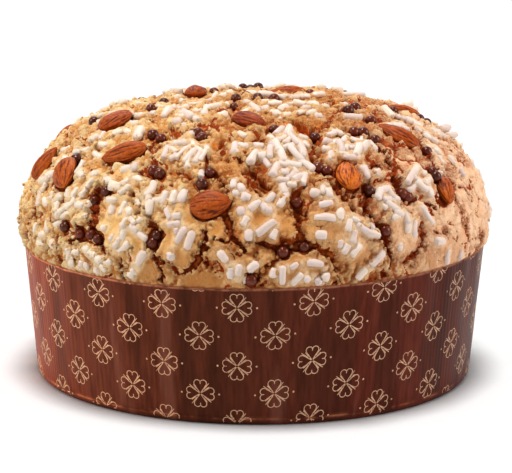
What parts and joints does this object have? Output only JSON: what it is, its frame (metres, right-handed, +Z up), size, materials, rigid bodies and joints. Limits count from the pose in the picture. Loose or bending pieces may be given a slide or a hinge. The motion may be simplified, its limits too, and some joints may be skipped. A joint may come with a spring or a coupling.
{
  "type": "panettone",
  "caption": "Low domed sweet bread with a cracked almond glaze, set with almonds and pearl sugar, in a printed round paper baking case.",
  "frame": {"origin": "centre of the case's flat underside", "axes": "+Z up through the dome, -Y towards the side the picture shows, +X to that view's right"},
  "size_m": [0.2169, 0.2178, 0.1297],
  "materials": {
    "paper": "dark brown printed corrugated baking paper, satin",
    "crust": null,
    "almond_skin": null
  },
  "bodies": {
    "root": {"paper_case": "paper", "cake": "crust", "almond_01": "almond_skin", "almond_02": "almond_skin", "almond_03": "almond_skin", "almond_04": "almond_skin", "almond_05": "almond_skin", "almond_06": "almond_skin", "almond_07": "almond_skin", "almond_08": "almond_skin", "almond_09": "almond_skin", "almond_10": "almond_skin", "almond_11": "almond_skin", "almond_12": "almond_skin", "almond_13": "almond_skin", "almond_14": "almond_skin", "almond_15": "almond_skin", "almond_16": "almond_skin", "almond_17": "almond_skin", "almond_18": "almond_skin"}
  },
  "joints": []
}
